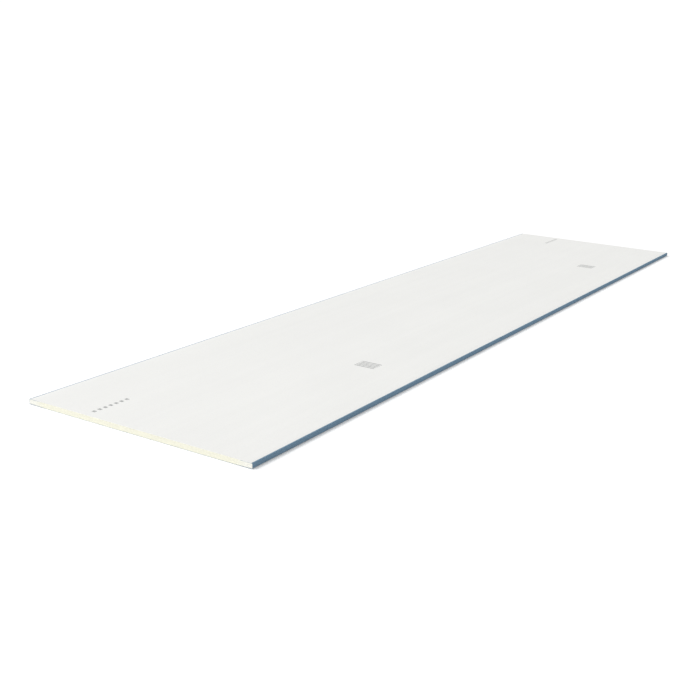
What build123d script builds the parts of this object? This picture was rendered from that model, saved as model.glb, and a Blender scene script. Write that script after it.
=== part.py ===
from build123d import *
import os

# Drywall sheet with tapered long edges, lying on its face.
# X runs across the width, Y along the length and Z up. The origin is under the middle of the face.

os.makedirs("parts", exist_ok=True)

# Driving dimensions, in millimetres

sheet_width = 600.0
sheet_length = 2600.0
sheet_thickness = 12.5

# The face slopes up to each long edge, so that joint tape and filler lie flush there.
taper_width = 60.0
taper_depth = 1.3

# The face paper turns the corners of the long edges on small radii.
face_corner_radius = 1.5
back_corner_radius = 1.2

# The face paper is folded onto the back, and the back paper laps over all but a margin of the fold.
face_paper_thickness = 0.4
back_paper_thickness = 0.4
fold_width = 30.0
fold_margin = 3.0

# Worked-out sizes

half_width = sheet_width / 2
half_length = sheet_length / 2
fold_top = sheet_thickness - back_paper_thickness
fold_underside = fold_top - face_paper_thickness
core_back_width = sheet_width - 2 * fold_width
back_paper_width = sheet_width - 2 * fold_margin

# Section of the wrapped sheet: the outside of the face paper, closed across the back

with BuildSketch(Plane.XZ) as wrapped_section:
    with BuildLine():
        Polyline(
            (half_width - taper_width, 0),
            (half_width, taper_depth),
            (half_width, fold_top),
            (-half_width, fold_top),
            (-half_width, taper_depth),
            (-half_width + taper_width, 0),
            close=True,
        )
    make_face()
    fillet(wrapped_section.vertices().group_by(Axis.Y)[1], face_corner_radius)
    fillet(wrapped_section.vertices().group_by(Axis.Y)[-1], back_corner_radius)

# Section of the gypsum: one paper inside the wrap, and raised between the two folds to meet the back paper

with BuildSketch(Plane.XZ) as core_section:
    add(wrapped_section.sketch_local)
    offset(amount=-face_paper_thickness, mode=Mode.REPLACE)
    with Locations((0, fold_underside)):
        Rectangle(core_back_width, face_paper_thickness, align=(Align.CENTER, Align.MIN))

# Gypsum core, sawn square at both ends

with BuildPart() as gypsum_core:
    extrude(core_section.sketch, amount=half_length, both=True)

gypsum_core.part.label = "gypsum_core"
export_step(gypsum_core.part, "parts/gypsum_core.step")

# Face paper: one skin over the face, both tapers and both long edges, folded onto the back

with BuildPart() as face_paper:
    with BuildSketch(Plane.XZ):
        add(wrapped_section.sketch_local)
        add(core_section.sketch_local, mode=Mode.SUBTRACT)
    extrude(amount=half_length, both=True)

face_paper.part.label = "face_paper"
export_step(face_paper.part, "parts/face_paper.step")

# Back paper: a flat strip over the core and over both folds, up to their margins

with BuildPart() as back_paper:
    with BuildSketch(Plane.XZ):
        with Locations((0, fold_top)):
            Rectangle(back_paper_width, back_paper_thickness, align=(Align.CENTER, Align.MIN))
    extrude(amount=half_length, both=True)

back_paper.part.label = "back_paper"
export_step(back_paper.part, "parts/back_paper.step")
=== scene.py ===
# %% [markdown]
# # A sheet of drywall
#
# A drywall sheet is a slab of gypsum cast between two papers. The dark face paper covers the face, runs up
# both long edges and is folded a little way onto the back. The pale back paper is glued over those folds.
# The two short ends are sawn, so they show the bare gypsum.
#
# The solids that come with the frame have the right sizes. This lesson gives each of them a finer skin in
# the same place, paints it, and lights it like a studio picture.

# %% Load the frame
import math

import bmesh
import bpy
import numpy as np
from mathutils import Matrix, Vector


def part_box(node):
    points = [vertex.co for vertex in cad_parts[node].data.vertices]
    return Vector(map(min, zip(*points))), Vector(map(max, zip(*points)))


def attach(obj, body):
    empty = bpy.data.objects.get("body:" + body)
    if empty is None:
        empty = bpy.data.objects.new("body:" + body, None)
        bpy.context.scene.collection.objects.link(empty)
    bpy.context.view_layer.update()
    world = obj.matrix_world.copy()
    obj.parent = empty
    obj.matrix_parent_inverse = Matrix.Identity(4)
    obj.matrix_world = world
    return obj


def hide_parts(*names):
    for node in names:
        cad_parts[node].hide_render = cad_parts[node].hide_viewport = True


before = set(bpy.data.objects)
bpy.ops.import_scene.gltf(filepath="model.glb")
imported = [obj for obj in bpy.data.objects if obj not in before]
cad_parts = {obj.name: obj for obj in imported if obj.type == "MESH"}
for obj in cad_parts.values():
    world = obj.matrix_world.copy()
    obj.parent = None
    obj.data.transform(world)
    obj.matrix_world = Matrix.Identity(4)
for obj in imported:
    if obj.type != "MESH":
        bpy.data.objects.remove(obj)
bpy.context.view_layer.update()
print("solids in the frame:", sorted(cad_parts))

# %% [markdown]
# ## Reading the sheet's section
#
# Every new piece has to lie exactly where its solid lies, so all sizes come from the solids. They could be
# written down again here, but then a change to the solids would leave the looks behind. Blender works in
# metres here. The boxes of the three solids give the sheet's outside and the thickness of the face paper.

# %% Sizes of the sheet and of its papers
MM = 0.001

core_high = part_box("gypsum_core")[1]
wrap_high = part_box("face_paper")[1]
liner_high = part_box("back_paper")[1]

half_width = wrap_high.x
half_length = wrap_high.y
sheet_top = liner_high.z
fold_top = wrap_high.z
face_paper_thickness = wrap_high.x - core_high.x
fold_underside = fold_top - face_paper_thickness
liner_half_width = liner_high.x
print(f"sheet {2 * half_width:.3f} x {2 * half_length:.3f} x {sheet_top:.4f} m")

# %% [markdown]
# ## The tapers and the round corners
#
# A box can't show how the face slopes up to the long edges, so the rest is read from a few vertices. The
# flat part of a long edge ends where its two round corners begin, which gives the upper radius. The taper
# starts where the face leaves the floor. Seen from there, the lowest point further out is where the lower
# corner begins, and that gives the taper's angle. The lower radius follows from the two.

# %% Taper and round corners of the section
NEAR_ENOUGH = 0.001 * MM


def vertices_of(node):
    """The x, y and z of all the vertices of a solid."""
    return np.array([v.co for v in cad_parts[node].data.vertices]).T


core_x, _, core_z = vertices_of("gypsum_core")
wrap_x, _, wrap_z = vertices_of("face_paper")
fold_end = core_x[core_z > core_high.z - NEAR_ENOUGH].max()
taper_start = wrap_x[wrap_z < NEAR_ENOUGH].max()
taper_width = half_width - taper_start

edge_heights = wrap_z[wrap_x > half_width - NEAR_ENOUGH]
face_corner_height = edge_heights.min()
back_corner_radius = fold_top - edge_heights.max()

beyond = wrap_x > taper_start + NEAR_ENOUGH
taper_angle = np.arctan2(wrap_z[beyond], wrap_x[beyond] - taper_start).min()
taper_depth = taper_width * math.tan(taper_angle)
corner_rise = (1 - math.sin(taper_angle)) / math.cos(taper_angle)
face_corner_radius = (face_corner_height - taper_depth) / corner_rise
print(f"tapers {taper_width / MM:.2f} mm wide and {taper_depth / MM:.2f} mm deep,",
      f"corner radii {face_corner_radius / MM:.2f} and {back_corner_radius / MM:.2f} mm")

# %% [markdown]
# ## Grids of faces and a map for baking
#
# All the pieces here are made of grids. A helper turns a grid of point numbers into four-sided faces, and
# each grid also gets an upright strip on the piece's UV map. That map is for later: a game engine can't run
# shader nodes, so the colours are baked into a picture, where a face gets as many pixels as it has room on
# the map. Smart UV Project shares out the room by area, which would leave next to nothing for the sawn ends.
# Here the sides that can be seen take most of the map, cut into lengths that stand side by side.

# %% Helpers: grids of faces
MAP_GAP = 0.004


def distances(line):
    """How far along a line of points each point lies."""
    return np.concatenate([[0.0], np.cumsum(np.linalg.norm(np.diff(line, axis=0), axis=1))])


def spread_over(places, low, width):
    """Places along a line, brought into a stretch of the map with half a gap at both of its ends."""
    share = (places - places[0]) / (places[-1] - places[0])
    return low + MAP_GAP / 2 + (width - MAP_GAP) * share


def grid_patch(index, down, across, left, width):
    """Faces of a grid of point numbers, and the places of their corners on a strip of the map."""
    strip = np.meshgrid(spread_over(across, left, width), spread_over(down, 0.0, 1.0))
    places = np.stack(strip, axis=-1)
    corners = (np.s_[:-1, :-1], np.s_[:-1, 1:], np.s_[1:, 1:], np.s_[1:, :-1])
    faces = np.stack([index[c] for c in corners], axis=-1).reshape(-1, 4)
    return faces.tolist(), np.stack([places[c] for c in corners], axis=-2).reshape(-1, 2)


def cut_patches(index, down, across, lengths, left, width):
    """Patches of a grid that is cut into equal lengths, which stand side by side on the map."""
    cuts = np.linspace(0, len(down) - 1, lengths + 1).round().astype(int)
    each = width / lengths
    return [grid_patch(index[a:b + 1], down[a:b + 1], across, left + k * each, each)
            for k, (a, b) in enumerate(zip(cuts, cuts[1:]))]


def rim_of(index):
    """The point numbers round a grid, with the first one again at the end."""
    return np.concatenate([index[0, :-1], index[:-1, -1], index[-1, :0:-1], index[::-1, 0]])


# %% [markdown]
# ## From patches to a closed mesh
#
# A paper is two grids a fraction of a millimetre apart and a narrow band round the rim. A Solidify modifier
# could thicken a single surface, but here both surfaces are known exactly. The side that can be seen is cut
# into two lengths on the map. The glued side and the rim share a narrow strip.

# %% Helpers: a closed mesh and a closed paper
SHARP_ANGLE = math.radians(30)
PAPER_LENGTHS = 2
SEEN_SHARE = 0.96
GLUED_SHARE = 0.02


def closed_piece(name, points, patches):
    """A closed mesh from points and patches, each a list of faces and their corners' places on the map."""
    mesh = bpy.data.meshes.new(name)
    mesh.from_pydata(points, [], [face for faces, _ in patches for face in faces])
    bake_map = mesh.uv_layers.new(name="OFBake")
    bake_map.data.foreach_set("uv", np.concatenate([places for _, places in patches]).ravel())
    outward = bmesh.new()
    outward.from_mesh(mesh)
    bmesh.ops.recalc_face_normals(outward, faces=outward.faces)
    outward.to_mesh(mesh)
    outward.free()
    mesh.shade_smooth()
    mesh.set_sharp_from_angle(angle=SHARP_ANGLE)
    piece = bpy.data.objects.new(name, mesh)
    bpy.context.scene.collection.objects.link(piece)
    print(f"{name}: {len(mesh.vertices)} vertices, {len(mesh.polygons)} faces")
    return piece


def closed_paper(name, seen, glued):
    """A paper between its seen and its glued points, two grids that have the same rows and columns."""
    points = np.concatenate([seen.reshape(-1, 3), glued.reshape(-1, 3)])
    index = np.arange(len(points) // 2).reshape(seen.shape[:2])
    down, across = seen[:, 0, 1], distances(seen[0])
    rim = rim_of(index)
    band = np.column_stack([rim, rim + index.size])
    band_left = SEEN_SHARE + GLUED_SHARE
    patches = cut_patches(index, down, across, PAPER_LENGTHS, 0.0, SEEN_SHARE)
    patches.append(grid_patch(index + index.size, down, across, SEEN_SHARE, GLUED_SHARE))
    patches.append(grid_patch(band, distances(points[rim]), np.array([0.0, 1.0]), band_left, 1 - band_left))
    return closed_piece(name, points, patches)


# %% [markdown]
# ## A little unevenness
#
# Nothing off a production line is perfectly straight. Paper wanders by tenths of a millimetre, and a sheet
# that dried in an oven is never quite flat. A Displace modifier with a cloud texture would do that, but a
# sum of a few sine waves with seeded phases is easier to keep inside the box: it runs from 0 to 1.

# %% Helper: slow waves from 0 to 1
def slow_waves(places, wavelengths, seed):
    """Sines of the given wavelengths along one direction, added and brought into 0 to 1."""
    phases = np.random.default_rng(seed).uniform(0, 2 * math.pi, len(wavelengths))
    waves = sum(np.sin(2 * math.pi * places / w + p) for w, p in zip(wavelengths, phases))
    return 0.5 + 0.5 * waves / len(wavelengths)


# %% [markdown]
# ## The back paper
#
# The pale paper lies flat on the back and ends about three millimetres short of each long edge. Its edges
# are cut thin and wander a little, which is what gives the strip of dark fold beside them its uneven width.
# The grid has extra columns at the edges, so that the paper can thin out there. A subdivided plane would
# have all its columns alike.

# %% Rows and columns of the back paper
PAPER_STEP = 20 * MM
EDGE_WANDER = 0.5 * MM
EDGE_SKIVE = 0.6 * MM


def even_places(half, step):
    """Places from -half to half, about a step apart."""
    return np.linspace(-half, half, round(2 * half / step) + 1)


stations = even_places(half_length, PAPER_STEP)
inner_columns = even_places(liner_half_width - EDGE_WANDER - EDGE_SKIVE, PAPER_STEP)
print(f"back paper: {len(stations)} rows, {len(inner_columns) + 2} columns")

# %% Back paper
EDGE_THICKNESS = 0.15 * MM
OUT_OF_FLAT = 0.12 * MM
END_FRAY = 0.2 * MM
LEFT_EDGE_WAVES = (0.61, 0.23, 0.097)
RIGHT_EDGE_WAVES = (0.53, 0.27, 0.089)
ACROSS_WAVES = (0.9, 0.31)
ALONG_WAVES = (1.7, 0.74, 0.4)
FRAY_WAVES = (0.083, 0.051, 0.029)


def liner_grids():
    """The back paper's upper and lower points."""
    left = -liner_half_width + EDGE_WANDER * slow_waves(stations, LEFT_EDGE_WAVES, seed=1)
    right = liner_half_width - EDGE_WANDER * slow_waves(stations, RIGHT_EDGE_WAVES, seed=2)
    x = np.column_stack([left, np.tile(inner_columns, (len(stations), 1)), right])
    y = np.tile(stations[:, None], (1, x.shape[1]))
    lows = slow_waves(x, ACROSS_WAVES, seed=3) * slow_waves(y, ALONG_WAVES, seed=4)
    upper_z = sheet_top - OUT_OF_FLAT * lows
    upper_z[:, [0, -1]] = fold_top + EDGE_THICKNESS
    lower_z = np.full_like(x, fold_top)
    fray = END_FRAY * slow_waves(x[0], FRAY_WAVES, seed=5)
    y[0] += fray
    y[-1] -= fray[::-1]
    return np.stack([x, y, upper_z], axis=-1), np.stack([x, y, lower_z], axis=-1)


back_liner = closed_paper("back_liner", *liner_grids())

# %% [markdown]
# ## The face paper
#
# This paper is one long bent strip, so it is drawn as a section and swept along the sheet. The section
# starts at the middle of the face, goes out along the taper, round the lower corner, up the long edge, round
# the upper corner and back along the fold. A bevelled curve could sweep it too, but each point here also
# keeps its outward direction, so that a second line can lie exactly one paper thickness inside it. Drawing
# one half and mirroring it keeps both edges alike.

# %% Section of the face paper
ARC_STEPS = 8
FACE_STEPS = 12
TAPER_STEPS = 6
FOLD_STEPS = 6
MIRROR = (-1, 1, -1, 1)


def corner_arc(centre, radius, start, end):
    """Points of an arc with their outward directions, as rows of x, z, outward x, outward z."""
    turn = np.linspace(start, end, ARC_STEPS + 1)
    out = np.column_stack([np.cos(turn), np.sin(turn)])
    return np.column_stack([np.array(centre) + radius * out, out])


def straight(start, end, steps, out):
    """Points along a straight stretch, without its two ends, with one outward direction."""
    share = np.linspace(0, 1, steps + 1)[1:-1, None]
    points = np.array(start) * (1 - share) + np.array(end) * share
    return np.column_stack([points, np.tile(out, (len(points), 1))])


def half_section():
    """The face paper's section from the middle of the face to the end of the right-hand fold."""
    taper_out = (math.sin(taper_angle), -math.cos(taper_angle))
    bend_out = (math.sin(taper_angle / 2), -math.cos(taper_angle / 2))
    lower_centre = (half_width - face_corner_radius, face_corner_height)
    upper_centre = (half_width - back_corner_radius, fold_top - back_corner_radius)
    lower = corner_arc(lower_centre, face_corner_radius, taper_angle - math.pi / 2, 0)
    upper = corner_arc(upper_centre, back_corner_radius, 0, math.pi / 2)
    return np.concatenate([
        [[0, 0, 0, -1]],
        straight((0, 0), (taper_start, 0), FACE_STEPS, (0, -1)),
        [[taper_start, 0, *bend_out]],
        straight((taper_start, 0), lower[0, :2], TAPER_STEPS, taper_out),
        lower,
        upper,
        straight(upper[-1, :2], (fold_end, fold_top), FOLD_STEPS, (0, 1)),
        [[fold_end, fold_top, 0, 1]],
    ])


right_half = half_section()
left_half = right_half[:0:-1] * MIRROR
section = np.concatenate([left_half, right_half])
print(f"face paper section: {len(section)} points")

# %% [markdown]
# ## Sweeping the section
#
# The section is set down at the same stations along the sheet as the back paper's rows. An Array modifier
# would repeat it without any difference, but paper that was folded round wet gypsum never dries quite
# straight. So the upright sides give way inwards by a fraction of a millimetre, here more and there less,
# and both ends are frayed by the saw.

# %% Face paper
EDGE_WOBBLE = 0.15 * MM
WOBBLE_WAVES = (0.83, 0.37, 0.151)
FACING_SIDEWAYS = 0.5


def wrap_grids():
    """The face paper's outer and inner points, row by row along the sheet."""
    outer = np.empty((len(stations), len(section), 3))
    outer[..., ::2] = section[:, :2]
    outer[..., 1] = stations[:, None]
    inner = outer.copy()
    inner[..., ::2] -= face_paper_thickness * section[:, 2:]
    for side, seed in ((-1, 6), (1, 7)):
        on_side = section[:, 2] * side > FACING_SIDEWAYS
        wobble = EDGE_WOBBLE * slow_waves(stations, WOBBLE_WAVES, seed)
        outer[:, on_side, 0] -= side * wobble[:, None]
    along = np.linspace(0, 2 * half_width, len(section))
    fray = END_FRAY * slow_waves(along, FRAY_WAVES, seed=8)
    for grid in (outer, inner):
        grid[0, :, 1] += fray
        grid[-1, :, 1] -= fray[::-1]
    return outer, inner


face_wrap = closed_paper("face_wrap", *wrap_grids())

# %% [markdown]
# ## The gypsum core and its ends
#
# The core shows only at its two ends, so only they need a fine grid, with a vertex every half millimetre.
# Each column runs from the inside of the face paper up to the papers on the back. The columns crowd together
# at the round corners, and two of them stand close beside each other where the folds end and the core steps
# up. Columns that would nearly touch are left out, because they would make slivers.

# %% Outline of the core's end
GRID_STEP = 0.5 * MM
LEAST_STEP = 0.03 * MM
STEP_SIDE = 0.02 * MM
END_ROWS = 23

core_half_width = half_width - face_paper_thickness
inner_line = right_half[:, :2] - face_paper_thickness * right_half[:, 2:]
is_low = inner_line[:, 1] < fold_underside / 2
lower_line = inner_line[is_low]
upper_line = inner_line[~is_low][::-1]
arcs = inner_line[inner_line[:, 0] > core_half_width - face_corner_radius, 0]


def thinned(places):
    """Places in rising order, without those that lie too close before the next one."""
    kept = []
    for place in sorted(places, reverse=True):
        if not kept or kept[-1] - place > LEAST_STEP:
            kept.append(place)
    return np.array(kept[::-1])


def end_columns(bends):
    """Column places across the core's end: the bends, and even places that aren't too close to them."""
    plain = np.arange(0, core_half_width - face_corner_radius, GRID_STEP)
    apart = np.abs(plain[:, None] - bends).min(axis=1) > LEAST_STEP
    half = np.sort(np.concatenate([plain[apart], bends]))
    return np.concatenate([-half[:0:-1], half])


bends = thinned([taper_start, fold_end - STEP_SIDE, fold_end + STEP_SIDE, *arcs])
columns = end_columns(bends)
spread = np.abs(columns)
column_low = np.interp(spread, *lower_line.T)
column_high = np.where(spread < fold_end, fold_top, np.interp(spread, *upper_line.T))
print(f"core end: {len(columns)} columns, {END_ROWS + 1} rows")

# %% [markdown]
# ## Bubbles and saw marks
#
# Gypsum board is a foamed stone: the saw opens small round bubbles, leaves faint upright scratches and
# crumbles the borders a little. A bump in the material could fake the bubbles, but up close they need real
# depth, so each of them is pressed into the grid as a round dent. Small bubbles are far more common than
# large ones, which a power of an even draw gives.

# %% Sawn ends of the core
BUBBLES_PER_END = 3000
BUBBLE_RADIUS = (0.3 * MM, 0.8 * MM)
BUBBLE_SMALLNESS = 3
BUBBLE_DEPTH = 0.5
SAW_DEPTH = 0.08 * MM
SAW_WAVES = (4.3 * MM, 2.9 * MM, 1.7 * MM)
SAW_SLANT = 0.15
CRUMBLE_DEPTH = 0.15 * MM
CRUMBLE_POWER = 8


def press_bubbles(x, z, depth, draw):
    """Presses dents of random places and sizes into a grid of depths."""
    smallest, largest = BUBBLE_RADIUS
    bubble_x = draw.uniform(columns[0], columns[-1], BUBBLES_PER_END)
    bubble_z = draw.uniform(0, sheet_top, BUBBLES_PER_END)
    size = draw.uniform(0, 1, BUBBLES_PER_END) ** BUBBLE_SMALLNESS
    bubble_r = smallest + (largest - smallest) * size
    for bx, bz, br in zip(bubble_x, bubble_z, bubble_r):
        first, last = np.searchsorted(columns, (bx - br, bx + br))
        near = np.s_[:, first:last]
        away = ((x[near] - bx) ** 2 + (z[near] - bz) ** 2) / br ** 2
        dent = BUBBLE_DEPTH * br * np.sqrt(np.clip(1 - away, 0, 1))
        depth[near] = np.maximum(depth[near], dent)


def sawn_end(side, seed):
    """Points of one end of the core, with scratches, crumbled borders and bubbles."""
    rise = np.linspace(0, 1, END_ROWS + 1)[:, None]
    x = np.tile(columns, (END_ROWS + 1, 1))
    z = column_low + (column_high - column_low) * rise
    depth = SAW_DEPTH * slow_waves(x + SAW_SLANT * z, SAW_WAVES, seed)
    depth += CRUMBLE_DEPTH * (2 * np.abs(rise - 0.5)) ** CRUMBLE_POWER
    press_bubbles(x, z, depth, np.random.default_rng(seed))
    return np.stack([x, side * (half_length - depth), z], axis=-1)


near_end, far_end = sawn_end(-1, seed=11), sawn_end(1, seed=12)
print(f"bubbles up to {(half_length + near_end[..., 1]).max() / MM:.2f} mm deep")

# %% [markdown]
# ## The long sides of the core
#
# The long sides lie hidden under the papers and are plain, so they need few points. Only the places where
# the outline bends, and one place every five centimetres between them, run the length of the sheet.

# %% Outline of the core's long sides
SIDE_STEP = 50 * MM
SIDE_LEAST = 0.3 * MM

end_index = np.arange(near_end[..., 0].size).reshape(near_end.shape[:2])
rim = rim_of(end_index)
outline = near_end.reshape(-1, 3)[rim]
girth = distances(outline[:, ::2])


def kept_places():
    """Which points of the rim run the length of the sheet, as their numbers along the rim."""
    row, column = np.unravel_index(rim, end_index.shape)
    wanted_places = [*bends, *np.arange(0, half_width, SIDE_STEP)]
    wanted = np.isclose(spread[:, None], wanted_places, rtol=0, atol=NEAR_ENOUGH).any(axis=1)
    kept = [0]
    for place in np.flatnonzero(np.isin(row, (0, END_ROWS)) & wanted[column]):
        if girth[place] - girth[kept[-1]] > SIDE_LEAST:
            kept.append(int(place))
    kept[-1] = len(rim) - 1
    return kept


kept = kept_places()
print(f"core sides: {len(kept) - 1} of {len(rim) - 1} points of the rim are kept")

# %% [markdown]
# ## Closing the core
#
# Behind each sawn end a collar of triangles joins the fine rim to the few kept places: the points of the rim
# fan out from the nearest place that is kept. A single many-sided face would close the gap too, but such
# faces shade badly. On the map the two ends take most of the room, each cut into five lengths.

# %% Closed core
COLLAR_DEPTH = 15 * MM
END_LENGTHS = 5
ENDS_SHARE = 0.86
COLLAR_SHARE = 0.012


def collar_patch(fine, ring, left):
    """Triangles between the fine rim of an end and the ring of kept places behind it."""
    low, high = spread_over(np.array([0.0, 1.0]), left, COLLAR_SHARE)
    v = spread_over(girth, 0.0, 1.0)
    faces, places = [], []
    for k, (a, b) in enumerate(zip(kept, kept[1:])):
        middle = (a + b) // 2
        for i in range(a, b):
            apex, place = (ring[k], a) if i < middle else (ring[k + 1], b)
            faces.append([fine[i], fine[i + 1], apex])
            places += [(low, v[i]), (low, v[i + 1]), (high, v[place])]
        faces.append([fine[middle], ring[k + 1], ring[k]])
        places += [(low, v[middle]), (high, v[b]), (high, v[a])]
    return faces, np.array(places)


def core_piece():
    """The core, with fine sawn ends and wide plain sides."""
    rings = even_places(half_length - COLLAR_DEPTH, SIDE_STEP)
    ring_points = np.tile(outline[kept[:-1]], (len(rings), 1, 1))
    ring_points[..., 1] = rings[:, None]
    ring_index = 2 * end_index.size + np.arange(ring_points[..., 0].size).reshape(ring_points.shape[:2])
    ring_index = np.column_stack([ring_index, ring_index[:, 0]])
    each_end = ENDS_SHARE / 2
    patches = []
    for side, ring in ((0, ring_index[0]), (1, ring_index[-1])):
        first = side * end_index.size
        rows = np.arange(END_ROWS + 1)
        patches += cut_patches(first + end_index.T, columns, rows, END_LENGTHS, side * each_end, each_end)
        collar_left = ENDS_SHARE + side * COLLAR_SHARE
        patches.append(collar_patch((first + rim).tolist(), ring.tolist(), collar_left))
    sides_left = ENDS_SHARE + 2 * COLLAR_SHARE
    patches.append(grid_patch(ring_index, rings, girth[kept], sides_left, 1 - sides_left))
    points = np.concatenate([p.reshape(-1, 3) for p in (near_end, far_end, ring_points)])
    return closed_piece("sawn_core", points, patches)


sawn_core = core_piece()

# %% [markdown]
# ## Riding on the frame
#
# Each new piece rides on the sheet's one body and stands for its solid, which is then hidden.

# %% Seat the pieces
for piece, node, finish in (
    (sawn_core, "gypsum_core", "gypsum"),
    (face_wrap, "face_paper", "face_paper"),
    (back_liner, "back_paper", "back_paper"),
):
    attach(piece, "root")
    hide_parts(node)
    print(f"{piece.name} stands for {node}")

# %% [markdown]
# ## Helpers for shader nodes
#
# Nodes can be wired by hand in the Shader Editor. In a script it helps to have one call that makes a node,
# sets its properties and fills its inputs, where an input is either a plain value or another node's output.
# The nodes that come up again and again get a call of their own, which hands back the output.

# %% Helper: make and wire a node
def make_node(tree, kind, inputs=None, **settings):
    """A new node with its settings, and its inputs set to values or linked to other outputs."""
    node = tree.nodes.new(kind)
    for name, value in settings.items():
        setattr(node, name, value)
    for name, value in (inputs or {}).items():
        if isinstance(value, bpy.types.NodeSocket):
            tree.links.new(value, node.inputs[name])
        else:
            node.inputs[name].default_value = value
    return node


# %% Helpers: outputs of common nodes
def math_of(tree, operation, first, second=0.0, clamp=False):
    """The output of a Math node."""
    inputs = {0: first, 1: second}
    return make_node(tree, "ShaderNodeMath", inputs, operation=operation, use_clamp=clamp).outputs[0]


def vector_of(tree, operation, first, second=(0.0, 0.0, 0.0)):
    """The output of a Vector Math node."""
    return make_node(tree, "ShaderNodeVectorMath", {0: first, 1: second}, operation=operation).outputs[0]


def part_of(tree, vector, axis):
    """One part of a vector. On the sheet X runs across, Y along and Z up."""
    return make_node(tree, "ShaderNodeSeparateXYZ", {0: vector}).outputs[axis]


def noise_of(tree, places, scale=1.0, detail=2.0, roughness=0.5):
    """The output of a Noise Texture, from 0 to 1. Its scale is about the number of lumps in a metre."""
    inputs = {"Vector": places, "Scale": scale, "Detail": detail, "Roughness": roughness}
    return make_node(tree, "ShaderNodeTexNoise", inputs).outputs["Fac"]


def ramp_of(tree, value, low, high, to_low=0.0, to_high=1.0):
    """A value brought smoothly from one range into another."""
    inputs = {"Value": value, "From Min": low, "From Max": high, "To Min": to_low, "To Max": to_high}
    return make_node(tree, "ShaderNodeMapRange", inputs, interpolation_type="SMOOTHSTEP").outputs["Result"]


# %% Helper: a node group
def new_group(name, inputs, outputs):
    """A shader node group with named float or vector sockets, and its two end nodes."""
    group = bpy.data.node_groups.new(name, "ShaderNodeTree")
    for socket, kind in inputs:
        group.interface.new_socket(socket, in_out="INPUT", socket_type=kind)
    for socket, kind in outputs:
        group.interface.new_socket(socket, in_out="OUTPUT", socket_type=kind)
    return group, group.nodes.new("NodeGroupInput"), group.nodes.new("NodeGroupOutput")


# %% [markdown]
# ## The grain of paper
#
# Both papers are made from old paper pulp. Seen close, the pulp forms small lumps, whose tops the rollers of
# the mill press smoother, and a few darker or paler fibres stand out. Seen from afar, the tone drifts in wide
# clouds, and the rollers leave faint streaks along the sheet. An image could show all this, but nodes have no
# seams and stay sharp. Both materials need it, so it is a node group with its own inputs: the places on the
# sheet, and how strong the streaks and the clouds are.

# %% Node group: paper grain
VECTOR, FLOAT = "NodeSocketVector", "NodeSocketFloat"
CLOUD_SCALE = 4.0
STREAK_SCALE = (38.0, 0.7, 38.0)
PULP_SCALE = 240.0
PULP_TONE = 0.06
FIBRE_SCALE = (1100.0, 300.0, 1100.0)
FIBRE_HEIGHT = 0.4
FLECK_FIBRES = (0.66, 0.76)
MOST_NOISE = (0.3, 0.7)
PAPER_ROUGHNESS = (0.94, 0.78)

paper_grain, grain_in, grain_out = new_group(
    "paper_grain",
    [("Places", VECTOR), ("Streaks", FLOAT), ("Clouds", FLOAT)],
    [("Tone", FLOAT), ("Flecks", FLOAT), ("Height", FLOAT), ("Roughness", FLOAT)],
)


def swing_of(tree, noise, strength):
    """A noise that swings about 0 instead of 0.5, with a strength of its own."""
    return math_of(tree, "MULTIPLY", math_of(tree, "SUBTRACT", noise, 0.5), strength)


def wire_paper_grain():
    """Tone multiplies a colour, flecks are a mask, height feeds a bump, and roughness is less on lumps."""
    tree, places = paper_grain, grain_in.outputs["Places"]
    cloud = noise_of(tree, places, CLOUD_SCALE, detail=3.0, roughness=0.55)
    streak = noise_of(tree, vector_of(tree, "MULTIPLY", places, STREAK_SCALE), detail=4.0, roughness=0.6)
    pulp = noise_of(tree, places, PULP_SCALE, detail=4.0, roughness=0.6)
    fibre = noise_of(tree, vector_of(tree, "MULTIPLY", places, FIBRE_SCALE))
    tone = math_of(tree, "ADD", swing_of(tree, pulp, PULP_TONE), 1.0)
    tone = math_of(tree, "ADD", tone, swing_of(tree, cloud, grain_in.outputs["Clouds"]))
    tone = math_of(tree, "ADD", tone, swing_of(tree, streak, grain_in.outputs["Streaks"]))
    height = math_of(tree, "ADD", pulp, math_of(tree, "MULTIPLY", fibre, FIBRE_HEIGHT))
    roughness = ramp_of(tree, pulp, *MOST_NOISE, *PAPER_ROUGHNESS)
    tree.links.new(tone, grain_out.inputs["Tone"])
    tree.links.new(ramp_of(tree, fibre, *FLECK_FIBRES), grain_out.inputs["Flecks"])
    tree.links.new(height, grain_out.inputs["Height"])
    tree.links.new(roughness, grain_out.inputs["Roughness"])


wire_paper_grain()
print("node group:", paper_grain.name, "with", len(paper_grain.nodes), "nodes")

# %% [markdown]
# ## What both papers share
#
# A material starts with one Principled shader. The grain group gives a paper its tone, flecks, roughness and
# fine tooth, and ink, where a paper has some, is a layer of colour between the grain and the shader. Two
# separate materials could be wired node by node, but then each change would have to be made twice. One
# function makes both papers, so that they differ only in what is handed to it.

# %% Helpers: materials
MIX_SHARE, MIX_FIRST, MIX_SECOND = 0, 6, 7
MIX_COLOUR = 2


def new_material(name):
    """A material with its node tree and its Principled shader."""
    material = bpy.data.materials.new(name)
    material.use_nodes = True
    return material, material.node_tree, material.node_tree.nodes["Principled BSDF"]


def sheet_places(tree):
    """Places on the sheet, in metres from its own origin."""
    return make_node(tree, "ShaderNodeTexCoord").outputs["Object"]


def mixed(tree, share, first, second):
    """Two colours mixed by a share from 0 to 1. A Mix node keeps its colours in sockets of their own."""
    inputs = {MIX_SHARE: share, MIX_FIRST: first, MIX_SECOND: second}
    return make_node(tree, "ShaderNodeMix", inputs, data_type="RGBA").outputs[MIX_COLOUR]


def toned(tree, colour, tone):
    """A colour multiplied by a tone near 1."""
    return make_node(tree, "ShaderNodeVectorMath", {0: colour, "Scale": tone}, operation="SCALE").outputs[0]


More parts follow.
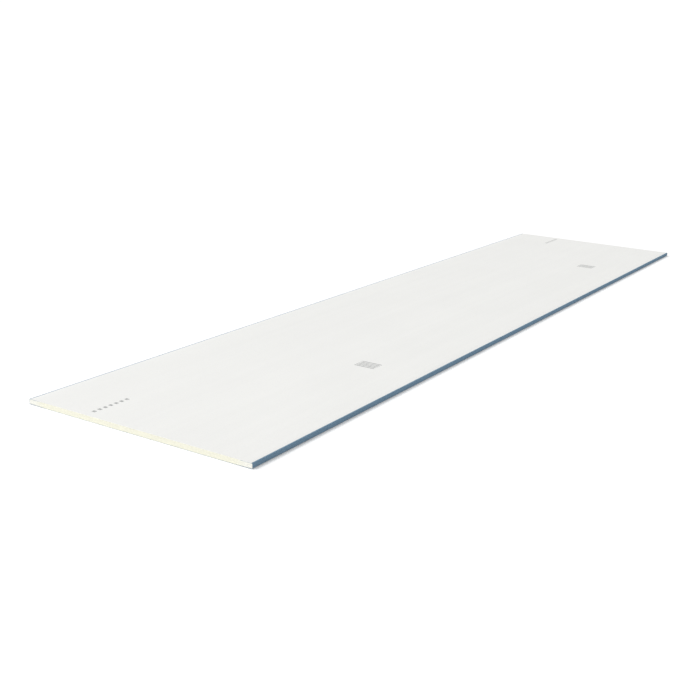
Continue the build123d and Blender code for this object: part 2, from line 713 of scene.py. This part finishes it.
def add_bump(tree, shader, height, strength, distance):
    """A bump on the shader's normal."""
    inputs = {"Strength": strength, "Distance": distance, "Height": height}
    bump = make_node(tree, "ShaderNodeBump", inputs)
    tree.links.new(bump.outputs["Normal"], shader.inputs["Normal"])


# %% Helper: a paper
INK_COLOUR = (0.30, 0.31, 0.31, 1.0)
PAPER_BUMP = 0.35
PAPER_TOOTH = 0.08 * MM
PAPER_SPECULAR = 0.25


def paper_material(name, colour, fleck_colour, fleck_share, streaks, clouds, ink_mask=None):
    """A paper with grain, flecks and a fine tooth, and with ink where a mask is given."""
    material, tree, shader = new_material(name)
    places = sheet_places(tree)
    inputs = {"Places": places, "Streaks": streaks, "Clouds": clouds}
    grain = make_node(tree, "ShaderNodeGroup", inputs, node_tree=paper_grain)
    flecks = math_of(tree, "MULTIPLY", grain.outputs["Flecks"], fleck_share)
    paper = toned(tree, mixed(tree, flecks, colour, fleck_colour), grain.outputs["Tone"])
    if ink_mask:
        paper = mixed(tree, ink_mask(tree, places), paper, INK_COLOUR)
    tree.links.new(paper, shader.inputs["Base Color"])
    tree.links.new(grain.outputs["Roughness"], shader.inputs["Roughness"])
    add_bump(tree, shader, grain.outputs["Height"], PAPER_BUMP, PAPER_TOOTH)
    shader.inputs["Specular IOR Level"].default_value = PAPER_SPECULAR
    print("material:", material.name, "with", len(tree.nodes), "nodes")
    return material


# %% [markdown]
# ## Plain ink ticks
#
# The back of the sheet carries a few plain marks in grey ink: a short row of dashes along the sheet near
# each end, and small blocks of parallel bars between them. Modelling ink would be wrong, since it has no
# thickness, and a picture isn't needed for bars. A block is a mask worked out from the place on the sheet:
# how far the place is from the block's middle, and where it falls in the repeat of the bars.

# %% Node group: a block of ink bars
INK_BLUR = 0.6 * MM
BAR_BLUR = 0.15

ink_bars, ink_in, ink_out = new_group(
    "ink_bars",
    [("Places", VECTOR), ("Middle", VECTOR), ("Half Size", VECTOR), ("Bars", VECTOR)],
    [("Ink", FLOAT)],
)


def wire_ink_bars():
    """A mask that is 1 on the bars. Bars is the number of bars in a metre across and along the sheet."""
    tree = ink_bars
    offset = vector_of(tree, "SUBTRACT", ink_in.outputs["Places"], ink_in.outputs["Middle"])
    inside = vector_of(tree, "SUBTRACT", ink_in.outputs["Half Size"], vector_of(tree, "ABSOLUTE", offset))
    repeat = vector_of(tree, "MULTIPLY", offset, ink_in.outputs["Bars"])
    mask = 1.0
    for axis in ("X", "Y"):
        within = ramp_of(tree, part_of(tree, inside, axis), 0.0, INK_BLUR)
        wave = math_of(tree, "COSINE", math_of(tree, "MULTIPLY", part_of(tree, repeat, axis), 2 * math.pi))
        bars = ramp_of(tree, wave, -BAR_BLUR, BAR_BLUR)
        mask = math_of(tree, "MULTIPLY", mask, math_of(tree, "MULTIPLY", within, bars))
    tree.links.new(mask, ink_out.inputs["Ink"])


wire_ink_bars()
print("node group:", ink_bars.name, "with", len(ink_bars.nodes), "nodes")

# %% Places of the ink on the back
ROW_OF_DASHES = {"Half Size": (5.0 * MM, 60.0 * MM, 1.0), "Bars": (0.0, 62.0, 0.0)}
BLOCK_OF_BARS = {"Half Size": (28.0 * MM, 22.0 * MM, 1.0), "Bars": (0.0, 110.0, 0.0)}
INK_PLACES = (
    ((-134.0 * MM, -1225.0 * MM, 0.0), ROW_OF_DASHES),
    ((-140.0 * MM, 1218.0 * MM, 0.0), ROW_OF_DASHES),
    ((148.0 * MM, -640.0 * MM, 0.0), BLOCK_OF_BARS),
    ((146.0 * MM, 844.0 * MM, 0.0), BLOCK_OF_BARS),
)
INK_GRAIN_SCALE = 420.0
INK_GRAIN = (0.35, 0.6)
INK_SHARE = (0.45, 0.95)


def printed_bars(tree, places):
    """All the ink on the back, patchy where the pulp shows through."""
    ink = 0.0
    for middle, design in INK_PLACES:
        inputs = {"Places": places, "Middle": middle, **design}
        block = make_node(tree, "ShaderNodeGroup", inputs, node_tree=ink_bars)
        ink = math_of(tree, "ADD", ink, block.outputs["Ink"])
    patchy = ramp_of(tree, noise_of(tree, places, INK_GRAIN_SCALE, detail=3.0), *INK_GRAIN, *INK_SHARE)
    on_top = ramp_of(tree, part_of(tree, places, "Z"), fold_top, fold_top + EDGE_THICKNESS)
    return math_of(tree, "MULTIPLY", ink, math_of(tree, "MULTIPLY", patchy, on_top))


print("ink:", len(INK_PLACES), "plain marks")

# %% [markdown]
# ## Back paper material
#
# The back paper is a pale, slightly warm grey, almost white, and quite matt. The ink lies on top in a soft
# grey. Its mask depends on the height too, so that the glued side, a paper's thickness lower, stays bare.

# %% Material: back paper
BACK_PAPER_COLOUR = (0.875, 0.875, 0.855, 1.0)
FLECK_COLOUR = (0.62, 0.62, 0.60, 1.0)

back_liner.data.materials.append(paper_material(
    "back_paper_pale", BACK_PAPER_COLOUR, FLECK_COLOUR, fleck_share=0.5, streaks=0.05, clouds=0.04,
    ink_mask=printed_bars))

# %% [markdown]
# ## Face paper material
#
# The face paper is the same kind of paper dyed a slate blue. Its flecks are paler than the dye, because some
# fibres take up less of it. It uses the same grain group with stronger streaks and clouds.

# %% Material: face paper
FACE_PAPER_COLOUR = (0.172, 0.28, 0.387, 1.0)
PALE_FIBRE_COLOUR = (0.31, 0.43, 0.53, 1.0)

face_wrap.data.materials.append(paper_material(
    "face_paper_slate", FACE_PAPER_COLOUR, PALE_FIBRE_COLOUR, fleck_share=0.6, streaks=0.16, clouds=0.10))

# %% [markdown]
# ## Gypsum colours
#
# Sawn gypsum is a soft cream colour. Between the bubbles that are pressed into the mesh it is full of finer
# pores, which hold a little shade. They are too small to be modelled, so that shade is painted on as darker
# dots in the cells of a Voronoi Texture. Near the long edges the makers use less foam, so the gypsum is
# denser and whiter there. The distance from the middle of the sheet tells where that is.

# %% Gypsum: whiter edges and painted shade in the pores
GYPSUM_COLOUR = (0.88, 0.87, 0.74, 1.0)
HARD_EDGE_COLOUR = (0.885, 0.88, 0.815, 1.0)
HARD_EDGE_START, HARD_EDGE_FULL = 45.0 * MM, 12.0 * MM
# The pore colour is painted shade, not a colour that the gypsum has.
PORE_SHADE_COLOUR = (0.72, 0.69, 0.55, 1.0)
PORE_SCALE = 900.0
PORE_RIM, PORE_HEART = 0.32, 0.18
PORE_SHADE = 0.45


def gypsum_colour(tree, places):
    """Cream stone with whiter long edges, and shade painted into the pores as darker dots."""
    from_middle = math_of(tree, "ABSOLUTE", part_of(tree, places, "X"))
    hard = ramp_of(tree, from_middle, half_width - HARD_EDGE_START, half_width - HARD_EDGE_FULL)
    stone = mixed(tree, hard, GYPSUM_COLOUR, HARD_EDGE_COLOUR)
    cells = make_node(tree, "ShaderNodeTexVoronoi", {"Vector": places, "Scale": PORE_SCALE})
    # Painted shade in the pores: darker towards the middle of each Voronoi cell.
    pores = ramp_of(tree, cells.outputs["Distance"], PORE_RIM, PORE_HEART, 0.0, PORE_SHADE)
    return mixed(tree, pores, stone, PORE_SHADE_COLOUR)


print(f"gypsum: whiter within {HARD_EDGE_START / MM:.0f} mm of the long edges")

# %% [markdown]
# ## Gypsum material
#
# The saw leaves a fine upright grain, the broken crystals are a grit that has hardly any gloss, and wide
# blotches come from the mixing. Photographed maps could show all three, but noises have no seams. The grain's
# noise is stretched upright and varies the tone with the blotches. Grain and grit together make the bump, and
# the grit alone varies the roughness.

# %% Material: gypsum
SAW_SCALE = (900.0, 900.0, 60.0)
SAW_TONE = (-0.03, 0.03)
GRIT_SCALE = 2600.0
BLOTCH_SCALE = 30.0
BLOTCH_TONE = (0.985, 1.015)
GYPSUM_ROUGHNESS = (0.88, 1.0)
GYPSUM_BUMP = 0.7
GYPSUM_TOOTH = 0.1 * MM
GYPSUM_SPECULAR = 0.15


def gypsum_material():
    """Chalky stone with a sawn grain."""
    material, tree, shader = new_material("gypsum_sawn")
    places = sheet_places(tree)
    saw = noise_of(tree, vector_of(tree, "MULTIPLY", places, SAW_SCALE), detail=3.0)
    grit = noise_of(tree, places, GRIT_SCALE, detail=3.0, roughness=0.6)
    blotches = noise_of(tree, places, BLOTCH_SCALE, detail=3.0)
    saw_tone = ramp_of(tree, saw, *MOST_NOISE, *SAW_TONE)
    tone = math_of(tree, "ADD", saw_tone, ramp_of(tree, blotches, *MOST_NOISE, *BLOTCH_TONE))
    tree.links.new(toned(tree, gypsum_colour(tree, places), tone), shader.inputs["Base Color"])
    tree.links.new(ramp_of(tree, grit, *MOST_NOISE, *GYPSUM_ROUGHNESS), shader.inputs["Roughness"])
    add_bump(tree, shader, math_of(tree, "ADD", saw, grit), GYPSUM_BUMP, GYPSUM_TOOTH)
    shader.inputs["Specular IOR Level"].default_value = GYPSUM_SPECULAR
    print("material:", material.name, "with", len(tree.nodes), "nodes")
    return material


sawn_core.data.materials.append(gypsum_material())

# %% [markdown]
# ## Floor
#
# The sheet lies on a plain white floor, which is lit like the sheet and keeps its shadow. Brighter lamps
# would make the floor whiter, but they would also bleach the pale back of the sheet. Instead, rays from the
# camera, and reflected ones, see a faint glow, which takes the open floor up to plain white.

# %% Floor
WHITE = (1.0, 1.0, 1.0, 1.0)
FLOOR_SIZE = 60.0
FLOOR_GAP = 0.2 * MM
FLOOR_COLOUR = (0.88, 0.88, 0.88, 1.0)
FLOOR_GLOW = 0.21


def seen_directly(tree):
    """1 for rays from the camera, in reflections and through glass, and 0 for light that falls on things."""
    path = make_node(tree, "ShaderNodeLightPath")
    seen = math_of(tree, "ADD", path.outputs["Is Camera Ray"], path.outputs["Is Glossy Ray"])
    return math_of(tree, "ADD", seen, path.outputs["Is Transmission Ray"], clamp=True)


def floor_material():
    """Matt white, with a glow that only seen rays get."""
    material, tree, shader = new_material("floor_white")
    shader.inputs["Base Color"].default_value = FLOOR_COLOUR
    shader.inputs["Roughness"].default_value = 1.0
    shader.inputs["Specular IOR Level"].default_value = 0.0
    shader.inputs["Emission Color"].default_value = WHITE
    glow = math_of(tree, "MULTIPLY", seen_directly(tree), FLOOR_GLOW)
    tree.links.new(glow, shader.inputs["Emission Strength"])
    return material


bpy.ops.mesh.primitive_plane_add(size=FLOOR_SIZE, location=(0, 0, -FLOOR_GAP))
floor = bpy.context.object
floor.name = "floor"
floor.data.materials.append(floor_material())
print(f"floor: {FLOOR_SIZE:.0f} m wide")

# %% [markdown]
# ## Sky, sun and lamp
#
# An even white sky fills the shadows, and a wide soft sun shines from the front left. That lights the back
# and the sawn near end, and leaves the long edge on the right in soft shade. A weak lamp close by on the same
# side makes the near end of the sheet a little brighter than the far one. Like the floor, the sky looks
# whiter to the camera than the light that it gives.

# %% Sky
SKY_STRENGTH = 0.55
SKY_SEEN = 1.05

scene = bpy.context.scene
scene.view_settings.view_transform = "Standard"
scene.world = bpy.data.worlds.new("studio")
scene.world.use_nodes = True
sky_tree = scene.world.node_tree
sky = sky_tree.nodes["Background"]
sky.inputs["Color"].default_value = WHITE
sky_level = ramp_of(sky_tree, seen_directly(sky_tree), 0.0, 1.0, SKY_STRENGTH, SKY_SEEN)
sky_tree.links.new(sky_level, sky.inputs["Strength"])
print(f"sky: strength {SKY_STRENGTH}, seen as {SKY_SEEN}")

# %% Sun and lamp
SUN_STRENGTH = 1.68
SUN_SPREAD = math.radians(30)
TO_SUN = Vector((-0.42, -0.52, 0.74))
LAMP_WATTS = 8.0
LAMP_SIZE = 1.2
LAMP_PLACE = Vector((-1.2, -3.0, 2.0))
LAMP_AIM = Vector((0.0, -1.0, 0.0))


def add_light(name, kind, energy, to_light, place=(0.0, 0.0, 0.0)):
    """A light that shines from the given direction. A sun needs no place."""
    light = bpy.data.objects.new(name, bpy.data.lights.new(name, kind))
    light.data.energy = energy
    light.location = place
    light.rotation_euler = to_light.to_track_quat("Z", "Y").to_euler()
    scene.collection.objects.link(light)
    print(f"{name}: {kind.lower()} light, energy {energy}")
    return light


add_light("soft_sun", "SUN", SUN_STRENGTH, TO_SUN).data.angle = SUN_SPREAD
add_light("near_lamp", "AREA", LAMP_WATTS, LAMP_PLACE - LAMP_AIM, LAMP_PLACE).data.size = LAMP_SIZE

# %% [markdown]
# ## Camera
#
# The camera stands where the picture was taken from: low, in front of the near end and to the right of the
# sheet. It is aimed so that the sheet lies in the middle of the frame, and the lens is long enough to fill
# the frame's width. The small roll is the tilt of the hand-held camera.

# %% Camera
CAMERA_PLACE = Vector((1.434, -2.791, 0.792))
CAMERA_AIM = Vector((0.0315, -0.5485, sheet_top))
CAMERA_LENS = 55.85
CAMERA_ROLL = math.radians(1.84)

camera = bpy.data.objects.new("camera", bpy.data.cameras.new("camera"))
camera.data.lens = CAMERA_LENS
camera.location = CAMERA_PLACE
camera.rotation_euler = (CAMERA_AIM - CAMERA_PLACE).to_track_quat("-Z", "Y").to_euler()
camera.rotation_euler.rotate_axis("Z", CAMERA_ROLL)
scene.collection.objects.link(camera)
scene.camera = camera
print(f"camera: {(CAMERA_AIM - CAMERA_PLACE).length:.2f} m from its aim, lens {CAMERA_LENS} mm")
